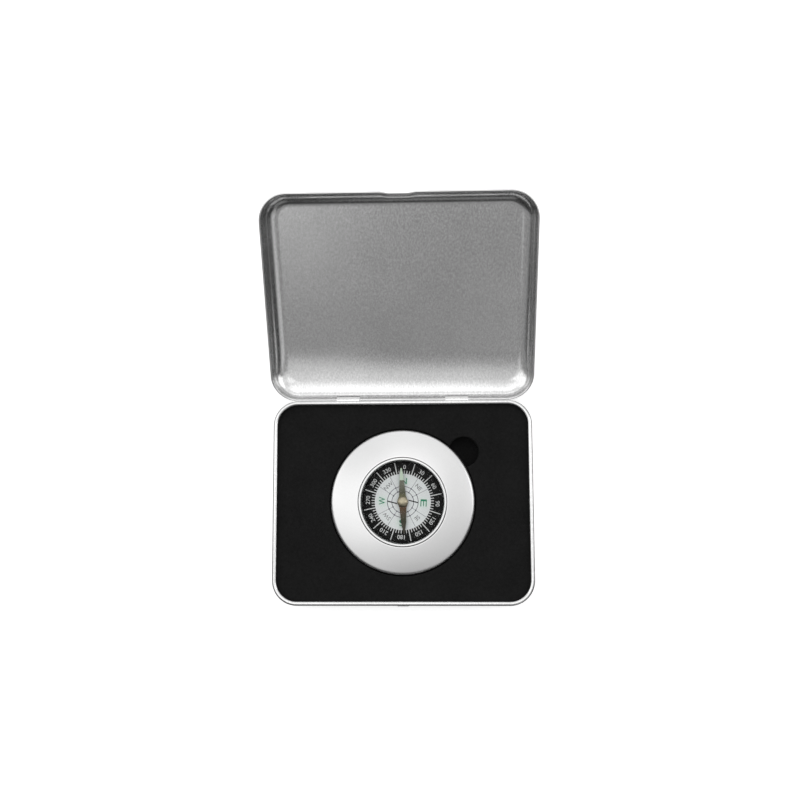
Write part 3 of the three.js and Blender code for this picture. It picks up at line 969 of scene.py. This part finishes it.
def puck():
    """A low dome with a recess for the capsule above and one for the felt below."""
    recess = bezel_radius + BEZEL_GAP
    recess_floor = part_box("capsule_tape")[0].z
    felt_seat = puck_bottom + FELT_RECESS
    turn_radius = puck_radius - PUCK_EDGE_ROUND
    turn_height = puck_bottom + PUCK_EDGE_HEIGHT - PUCK_EDGE_ROUND
    edge = arc(turn_radius, turn_height, PUCK_EDGE_ROUND, 0, PUCK_SHOULDER_DEGREES, FILLET_STEPS)
    face_radius, face_bottom = edge[-1]
    lip = PUCK_RECESS_EASE
    face = []
    for step in range(1, 2 * FILLET_STEPS + 1):
        share = step / (2 * FILLET_STEPS)
        rise = share + PUCK_CROWN * share * (1 - share)
        radius = face_radius + (recess + lip - face_radius) * share
        face.append((radius, face_bottom + (puck_top - face_bottom) * rise))
    lower = [
        (0, felt_seat),
        (felt_radius + FELT_GAP, felt_seat),
        (felt_radius + FELT_GAP, puck_bottom),
        (puck_radius - PUCK_BOTTOM_CHAMFER, puck_bottom),
        (puck_radius, puck_bottom + PUCK_BOTTOM_CHAMFER),
    ]
    rim = arc(recess + lip, puck_top - lip, lip, 90, 180, EASE_STEPS)
    inner = [(recess, recess_floor), (0, recess_floor)]
    mesh = turned("puck_shell", eased(lower, EASE) + edge + face + rim[1:] + inner)
    piece(mesh, aluminium, "compass", "satin_aluminium", "puck_body")


def felt_pad():
    """A pressed felt disc with rolled edges and a soft, uneven underside."""
    edge = felt_radius - FELT_ROLL
    under = [(edge * step / FELT_RINGS, felt_bottom) for step in range(FELT_RINGS)]
    side = arc(edge, felt_bottom + FELT_ROLL, FELT_ROLL, 270, 360, EASE_STEPS)
    side += arc(edge, felt_top - FELT_ROLL, FELT_ROLL, 0, 90, EASE_STEPS)
    mesh = turned("felt_disc", under + side + [(0, felt_top)])
    for vert in mesh.vertices:
        if vert.co.z < felt_bottom + FELT_ROLL / 2:
            vert.co.z += FELT_UNEVEN * (1 + noise.noise(vert.co * FELT_WAVES_PER_METRE)) / 2
    disc = piece(mesh, felt, "compass", "black_felt", "felt_pad")


def tape_disc():
    radius, bottom, top = levels("capsule_tape")
    profile = eased([(0, bottom), (radius, bottom), (radius, top), (0, top)], EASE)
    piece(turned("tape_disc", profile), tape, "compass", "pale_tape", "capsule_tape")


def capsule_cup():
    hole = bush_radius + FIT_GAP
    section = [
        (hole, cup_bottom),
        (cup_radius, cup_bottom),
        (cup_radius, cup_top),
        (cup_radius - CUP_WALL, cup_top),
        (cup_radius - CUP_WALL, dial_bottom),
        (hole, dial_bottom),
    ]
    mesh = turned("capsule_cup_shell", eased(section, EASE, closed=True))
    piece(mesh, plastic, "compass", "black_plastic", "capsule_cup")


def plain_ring(name, material, slot, node):
    """A ring of the capsule that stands on the dial's edge."""
    mesh = turned_ring(name, spacer_bore, *levels(node))
    piece(mesh, material, "compass", slot, node)


def lens():
    """Flat below and where the bezel holds it, with a slight crown in the window."""
    radius, bottom, crest = levels("lens")
    shoulder = crest - LENS_DOME
    window = bezel_radius - BEZEL_FACE - FIT_GAP
    crown = dome(window, shoulder, crest)
    profile = eased([(0, bottom), (radius, bottom), (radius, shoulder), crown[0]], LENS_EDGE)
    profile += crown[1:]
    piece(turned("lens_crystal", profile), lens_clear, "compass", "clear_lens", "lens")


def bezel():
    """A lip over the lens and a skirt round the cup, with rounded shoulders."""
    skirt = bezel_radius - BEZEL_SKIRT
    window = bezel_radius - BEZEL_FACE
    seat = bezel_top - BEZEL_LIP
    bevel = BEZEL_LIP / 2
    section = [
        (skirt, bezel_bottom),
        (bezel_radius, bezel_bottom),
        (bezel_radius, bezel_top - bevel),
        (bezel_radius - bevel, bezel_top),
        (window + bevel, bezel_top),
        (window, seat),
        (skirt, seat),
    ]
    mesh = turned("bezel_turned", eased(section, BEZEL_EASE, closed=True))
    piece(mesh, bright, "compass", "bright_aluminium", "bezel_ring")


def pivot():
    """The brass bush in the cup's floor and the steel pin that stands in it."""
    collar_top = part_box("pivot_bush")[1].z
    bore = PIN_RADIUS + FIT_GAP
    section = [
        (bore, cup_bottom),
        (bush_radius, cup_bottom),
        (bush_radius, dial_bottom),
        (bush_radius + BUSH_FLANGE, dial_bottom),
        (bush_radius + BUSH_FLANGE, collar_top),
        (bore, collar_top),
    ]
    mesh = turned("pivot_bush_turned", eased(section, EASE, closed=True), SMALL_STEPS)
    piece(mesh, brass, "compass", "brass", "pivot_bush")
    foot, tip = levels("pivot_pin")[1:]
    profile = [(0, foot), (PIN_RADIUS, foot), (PIN_RADIUS, tip - PIN_TIP), (0, tip)]
    mesh = turned("pivot_pin_turned", eased(profile, EASE), SMALL_STEPS)
    piece(mesh, steel, "compass", "pin_steel", "pivot_pin")


# Dial print

MARK_INPUTS = {
    "NodeSocketInt": ("Count", "Skip Every", "Skip From"),
    "NodeSocketFloat": ("Start", "Inner Radius", "Outer Radius", "Width", "Thickness", "Bottom"),
    "NodeSocketMaterial": ("Ink",),
}


def radial_marks_tree():
    """Flat bars set round the dial like spokes, clockwise from a bearing, with some left out."""
    tree = bpy.data.node_groups.new("radial_marks", "GeometryNodeTree")
    for kind, names in MARK_INPUTS.items():
        for name in names:
            tree.interface.new_socket(name=name, in_out="INPUT", socket_type=kind)
    tree.interface.new_socket(name="Marks", in_out="OUTPUT", socket_type="NodeSocketGeometry")
    sizes = add(tree, "NodeGroupInput").outputs

    def worked_out(operation, first, second):
        return add(tree, "ShaderNodeMath", {0: first, 1: second}, operation=operation)

    def vector(**parts):
        return add(tree, "ShaderNodeCombineXYZ", parts)

    length = worked_out("SUBTRACT", sizes["Outer Radius"], sizes["Inner Radius"])
    middle = worked_out("MULTIPLY", worked_out("ADD", sizes["Outer Radius"], sizes["Inner Radius"]), 0.5)
    raised = worked_out("ADD", sizes["Bottom"], worked_out("MULTIPLY", sizes["Thickness"], 0.5))
    size = vector(X=sizes["Width"], Y=length, Z=sizes["Thickness"])
    bar = add(tree, "GeometryNodeMeshCube", {"Size": size})
    place = vector(Y=middle, Z=raised)
    placed = add(tree, "GeometryNodeTransform", {"Geometry": bar, "Translation": place})
    points = add(tree, "GeometryNodePoints", {"Count": sizes["Count"]})
    index = add(tree, "GeometryNodeInputIndex")
    step = worked_out("DIVIDE", 2 * math.pi, sizes["Count"])
    bearing = worked_out("ADD", sizes["Start"], worked_out("MULTIPLY", index, step))
    shifted = worked_out("SUBTRACT", index, sizes["Skip From"])
    remainder = worked_out("FLOORED_MODULO", shifted, sizes["Skip Every"])
    spokes = add(tree, "GeometryNodeInstanceOnPoints", {
        "Points": points,
        "Selection": worked_out("GREATER_THAN", remainder, 0.5),
        "Instance": placed,
        "Rotation": vector(Z=worked_out("MULTIPLY", bearing, -1)),
    })
    realized = add(tree, "GeometryNodeRealizeInstances", {"Geometry": spokes})
    painted = add(tree, "GeometryNodeSetMaterial", {"Geometry": realized, "Material": sizes["Ink"]})
    add(tree, "NodeGroupOutput", {"Marks": painted})
    return tree


marks_tree = radial_marks_tree()


def radial_marks(name, material, count, inner, outer, width, bottom, bearing=0.0, skip=NONE_SKIPPED):
    """One printed mesh of spokes on the dial."""
    item = linked(name + "_marks", bpy.data.meshes.new(name + "_marks"))
    marks = item.modifiers.new("marks", "NODES")
    marks.node_group = marks_tree
    values = {
        "Count": count,
        "Start": DIAL_TURN + bearing,
        "Inner Radius": inner,
        "Outer Radius": outer,
        "Width": width,
        "Thickness": INK,
        "Bottom": bottom,
        "Skip Every": skip[0],
        "Skip From": skip[1],
        "Ink": material,
    }
    for socket in marks_tree.interface.items_tree:
        if socket.in_out == "INPUT":
            marks[socket.identifier] = values[socket.name]
    mesh = evaluated_mesh(item)
    mesh.name = name
    piece(mesh, material, "compass", "dial_print")


def word_mesh(text, weight=0.0):
    """A flat word of unit type, one deep, on its baseline."""
    curve = bpy.data.curves.new("word", "FONT")
    curve.body = text
    curve.extrude = 0.5
    curve.offset = weight
    curve.resolution_u = LETTER_STEPS
    return evaluated_mesh(linked("word", curve))


def mesh_span(mesh, axis):
    values = [vert.co[axis] for vert in mesh.vertices]
    return min(values), max(values)


def printed_words(name, material, words, height, radius, bottom, weight=0.0, widths=None):
    """One printed mesh of words round the dial, each with its top outward and any width it is given."""
    low, high = mesh_span(word_mesh("E"), 1)
    size = height / (high - low)
    body = bmesh.new()
    for text, bearing in words:
        mesh = word_mesh(text, weight)
        left, right = mesh_span(mesh, 0)
        centre = Matrix.Translation((-(left + right) / 2, -(high - low) / 2, 0.5))
        across = widths[text] / (right - left) if widths else size
        shrink = Matrix.Diagonal((across, size, INK, 1))
        out = Matrix.Translation((0, radius, bottom))
        turn = Matrix.Rotation(-bearing - DIAL_TURN, 4, "Z")
        mesh.transform(turn @ out @ shrink @ centre)
        body.from_mesh(mesh)
    piece(finished_mesh(body, name), material, "compass", "dial_print")


def rose_points(bottom):
    """The heavy edges of the four long points of the dial's rose."""
    body = bmesh.new()
    half = ROSE_STROKE / 2
    corners = [
        (ROSE_STROKE - ROSE_HALF, ROSE_INNER),
        (half, OUTER_CIRCLE),
        (-half, OUTER_CIRCLE),
        (-ROSE_HALF, ROSE_INNER),
    ]
    for count in range(4):
        turn = Matrix.Rotation(-count * RIGHT_ANGLE - DIAL_TURN, 4, "Z")
        faces = (bottom, bottom + INK)
        prism(body, [[turn @ Vector((x, y, z)) for x, y in corners] for z in faces])
    piece(finished_mesh(body, "dial_rose"), black_ink, "compass", "dial_print")


def dial():
    """The card and its print, in thin layers."""
    hole = bush_radius + BUSH_FLANGE + FIT_GAP
    mesh = turned_ring("dial_card_disc", hole, dial_radius, dial_bottom, dial_top, INK)
    piece(mesh, card, "compass", "dial_print", "dial_card")
    ring_top = dial_top + INK
    mesh = turned_ring("dial_black_ring", DISC_RADIUS, spacer_bore - FIT_GAP, dial_top, ring_top, INK_EASE)
    piece(mesh, black_ink, "compass", "dial_print")
    radial_marks(
        "dial_comb", white_ink, COMB_COUNT, DISC_RADIUS, COMB_OUTER, COMB_WIDTH, ring_top, skip=COMB_SKIP,
    )
    radial_marks(
        "dial_long_ticks", white_ink, NUMERAL_COUNT, DISC_RADIUS, LONG_TICK_OUTER, LONG_TICK_WIDTH, ring_top,
        bearing=TWELFTH / 2,
    )
    radial_marks(
        "dial_rays", ray_ink, NUMERAL_COUNT, RAY_INNER, DISC_RADIUS, RAY_WIDTH, dial_top, skip=RAY_SKIP,
    )
    for name, radius in (("dial_outer_circle", OUTER_CIRCLE), ("dial_inner_circle", INNER_CIRCLE)):
        half = CIRCLE_WIDTH / 2
        mesh = turned_ring(name, radius - half, radius + half, dial_top, ring_top, INK_EASE)
        piece(mesh, line_ink, "compass", "dial_print")
        inner = radius - CROSSING_LENGTH / 2
        outer = radius + CROSSING_LENGTH / 2
        radial_marks(
            name + "_dots", line_ink, NUMERAL_COUNT, inner, outer, CROSSING_WIDTH, ring_top, skip=RAY_SKIP,
        )
    rose_points(dial_top)
    numerals = [(str(NUMERAL_STEP * step), step * TWELFTH) for step in range(NUMERAL_COUNT)]
    printed_words(
        "dial_numerals", white_ink, numerals, NUMERAL_HEIGHT, NUMERAL_RADIUS, ring_top, NUMERAL_WEIGHT,
    )
    letters = [(letter, step * RIGHT_ANGLE) for step, letter in enumerate("NESW")]
    printed_words(
        "dial_letters", green_ink, letters, LETTER_HEIGHT, LETTER_RADIUS, dial_top, LETTER_WEIGHT,
        LETTER_WIDTHS,
    )
    corners = [(pair, (step + 0.5) * RIGHT_ANGLE) for step, pair in enumerate(("NE", "SE", "SW", "NW"))]
    printed_words("dial_corner_letters", grey_ink, corners, CORNER_HEIGHT, CORNER_RADIUS, dial_top)


# Needle

def mirrored(right):
    """A closed outline from its right side, which runs north."""
    return right + [(-x, y) for x, y in reversed(right)]


def needle_blade():
    """A flat plate, widest at the hub, with a blunt tip on each arm."""
    outline = mirrored([
        (BLADE_END_HALF, -SOUTH_ARM),
        (SOUTH_TIP_HALF, SOUTH_TIP - SOUTH_ARM),
        (BLADE_SHOULDER_HALF, -BLADE_SHOULDER),
        (BLADE_HUB_HALF, 0),
        (BLADE_SHOULDER_HALF, BLADE_SHOULDER),
        (NORTH_TIP_HALF, NORTH_ARM - NORTH_TIP),
        (BLADE_END_HALF, NORTH_ARM),
    ])
    hole = arc(0, 0, tenon_radius + FIT_GAP, 360, 0, SMALL_STEPS)[:-1]
    loops = [outline, hole]
    mesh = die_cut("needle_blade_plate", loops, blade_bottom, blade_top, BLADE_EASE, place=needle_turn)
    piece(mesh, blade_steel, "needle", "dark_steel", "needle_blade")


def lume_strip():
    """Luminous paint on the end of the north arm, a little narrower than the blade under it."""
    bottom, top = levels("lume_strip")[1:]
    tip_start = NORTH_ARM - NORTH_TIP
    bends = (BLADE_SHOULDER, tip_start, NORTH_ARM)
    halves = (BLADE_SHOULDER_HALF, NORTH_TIP_HALF, BLADE_END_HALF)
    stations = (tip_start - LUME_RUN, tip_start, tip_start + LUME_SHARE * NORTH_TIP)
    outline = mirrored([(LUME_SHARE * float(np.interp(y, bends, halves)), y) for y in stations])
    mesh = die_cut("lume_paint", [outline], bottom, top, LUME_EASE, place=needle_turn)
    piece(mesh, lume, "needle", "pale_paint", "lume_strip")


def needle_hub():
    """A domed brass cap on the blade with a tenon through it, its collar and its jewel."""
    tenon_bottom, cap_top = levels("needle_hub")[1:]
    jewel_bottom, jewel_top = levels("hub_jewel")[1:]
    lower = [
        (0, jewel_top),
        (hub_bore, jewel_top),
        (hub_bore, tenon_bottom),
        (tenon_radius, tenon_bottom),
        (tenon_radius, blade_top),
        (HUB_RADIUS, blade_top),
    ]
    crown = dome(HUB_RADIUS, blade_top + HUB_RIM, cap_top)
    mesh = turned("needle_hub_cap", eased(lower + crown, EASE), SMALL_STEPS)
    piece(mesh, brass, "needle", "brass", "needle_hub")
    bottom, top = levels("hub_collar")[1:]
    bore = tenon_radius + FIT_GAP
    mesh = turned_ring("hub_collar_ring", bore, tenon_radius + COLLAR_WIDTH, bottom, top, EASE, SMALL_STEPS)
    piece(mesh, brass, "needle", "brass", "hub_collar")
    stone = [
        (0, jewel_bottom + JEWEL_PIT_DEPTH),
        (JEWEL_PIT_RADIUS, jewel_bottom),
        (JEWEL_RADIUS, jewel_bottom),
        (JEWEL_RADIUS, jewel_top),
        (0, jewel_top),
    ]
    mesh = turned("hub_jewel_stone", eased(stone, EASE), SMALL_STEPS)
    piece(mesh, ruby, "needle", "ruby", "hub_jewel")


# Studio. The room's shares of light go with the cosine of the angle from its brightest side.

CAMERA_PLACE = (14.13 * MM, 0.69 * MM, 412.26 * MM)
CAMERA_TURN_DEGREES = (6.366, 2.192, -0.204)
CAMERA_LENS = 40.42
SENSOR_WIDTH = 36
CLIP_START = 10 * MM
FLOOR_HALF = 3.0
FLOOR_GLOW = 0.52
BRIGHTEST = (-0.11, 0.52, 0.85)
ROOM_SHARES = (
    (0, 0.03), (0.07, 0.1), (0.14, 0.38), (0.27, 0.27), (0.37, 0.18),
    (0.44, 0.48), (0.52, 0.75), (0.6, 0.82), (0.75, 0.9), (0.9, 1),
)
GROUND_START = -0.2
GROUND_FULL = -0.5
GROUND_SHARE = 0.38
BACKDROP_SHARE = 0.92
LIGHT_TARGET = Vector((0, 0.02, 0))
POWER_PER_RADIANCE = 4
SOFTBOXES = (
    ("overhead", (-0.33, -0.05, 1.03), (0.6, 0.94), 0.36),
    ("front_right", (0.5, -0.62, 0.6), (0.5, 0.5), 0.28),
    ("front_low", (0.2, -0.97, 0.2), (0.7, 0.36), 0.14),
    ("right_strip", (0.82, 0.12, 0.57), (0.5, 0.7), 0.9),
    ("left_strip", (-0.8, 0.2, 0.6), (0.5, 0.6), 0.5),
    ("upper_left", (-0.27, -0.63, 0.99), (0.25, 0.16), 0.3),
    ("upper_rear", (0.05, 0.22, 1.04), (0.45, 0.36), 0.36),
    ("rear", (0, 0.78, 0.72), (0.8, 0.3), 0.25),
)


def camera():
    view = bpy.data.cameras.new("camera")
    view.sensor_width = SENSOR_WIDTH
    view.lens = CAMERA_LENS
    view.clip_start = CLIP_START
    item = linked("camera", view)
    item.location = CAMERA_PLACE
    item.rotation_euler = [math.radians(angle) for angle in CAMERA_TURN_DEGREES]
    bpy.context.scene.camera = item


def softbox(name, place, size, radiance):
    """A rectangular area light of one brightness that faces the tin."""
    light = bpy.data.lights.new(name, "AREA")
    light.shape = "RECTANGLE"
    light.size, light.size_y = size
    light.energy = POWER_PER_RADIANCE * radiance * size[0] * size[1]
    item = linked(name, light)
    item.location = place
    item.rotation_euler = (LIGHT_TARGET - Vector(place)).to_track_quat("-Z", "Y").to_euler()
    item.visible_camera = False


def covered(tree, colour, factor, share):
    """A colour that gives way to an even grey along a factor."""
    inputs = {"Factor": factor, "A": colour, "B": (*grey(share), 1)}
    return add(tree, "ShaderNodeMix", inputs, data_type="RGBA")


def surroundings():
    """A plain room, brightest above and behind the tin, with an even ground and a pale backdrop."""
    world = bpy.data.worlds.new("room")
    world.use_nodes = True
    tree = world.node_tree
    place = add(tree, "ShaderNodeTexCoord").outputs["Generated"]
    inputs = {0: place, 1: Vector(BRIGHTEST).normalized()}
    facing = add(tree, "ShaderNodeVectorMath", inputs, operation="DOT_PRODUCT")
    room = ramp(tree, facing, [(cosine, grey(share)) for cosine, share in ROOM_SHARES])
    height = add(tree, "ShaderNodeSeparateXYZ", {"Vector": place}).outputs["Z"]
    below = ranged(tree, height, GROUND_START, GROUND_FULL)
    seen = add(tree, "ShaderNodeLightPath").outputs["Is Camera Ray"]
    colour = covered(tree, covered(tree, room, below, GROUND_SHARE), seen, BACKDROP_SHARE)
    feed(tree, tree.nodes["Background"], {"Color": colour, "Strength": 1})
    bpy.context.scene.world = world


def floor():
    """A matt floor that glows a little, so that it stays pale round the tin."""
    corners = [(-1, -1), (1, -1), (1, 1), (-1, 1)]
    mesh = bpy.data.meshes.new("floor")
    mesh.from_pydata([(x * FLOOR_HALF, y * FLOOR_HALF, 0) for x, y in corners], [], [(0, 1, 2, 3)])
    mesh.materials.append(grained(
        "pale_floor", grey(0.88), grey(0.9), (0.8, 0.9), (30,) * 3,
        Emission_Color=(1, 1, 1, 1), Emission_Strength=FLOOR_GLOW,
    ))
    item = linked("floor", mesh)
    item.visible_glossy = False


tin_base()
tin_lid()
foam_floor()
foam_insert()
puck()
felt_pad()
tape_disc()
capsule_cup()
dial()
pivot()
plain_ring("spacer_ring_turned", plastic, "black_plastic", "spacer_ring")
plain_ring("lens_gasket_ring", rubber, "black_rubber", "lens_gasket")
lens()
bezel()
needle_blade()
lume_strip()
needle_hub()
camera()
floor()
surroundings()
for box in SOFTBOXES:
    softbox(*box)
bpy.context.scene.view_settings.view_transform = "Standard"
